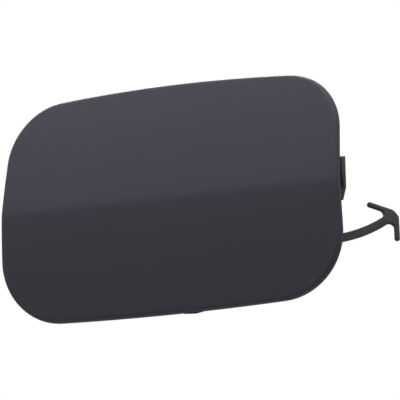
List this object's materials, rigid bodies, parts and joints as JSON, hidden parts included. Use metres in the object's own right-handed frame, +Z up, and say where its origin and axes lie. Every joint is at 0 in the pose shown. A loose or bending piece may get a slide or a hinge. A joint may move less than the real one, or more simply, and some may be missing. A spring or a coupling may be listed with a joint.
{
  "type": "bumper tow hook cover",
  "caption": "Crowned two-facet bumper cover for a tow eye aperture, moulded with snap clips, ribs and a tether strap that ends in a two-armed anchor.",
  "frame": {"origin": "on the crease of the show face, at the middle of the panel's width", "axes": "+Y into the bumper, along the way the cover is pushed in; +X across the panel towards the tether; +Z up"},
  "size_m": [0.1371, 0.042, 0.0782],
  "materials": {
    "moulding": "primed on the show side, raw behind"
  },
  "bodies": {
    "root": {"tow_hook_cover": "moulding"}
  },
  "joints": []
}
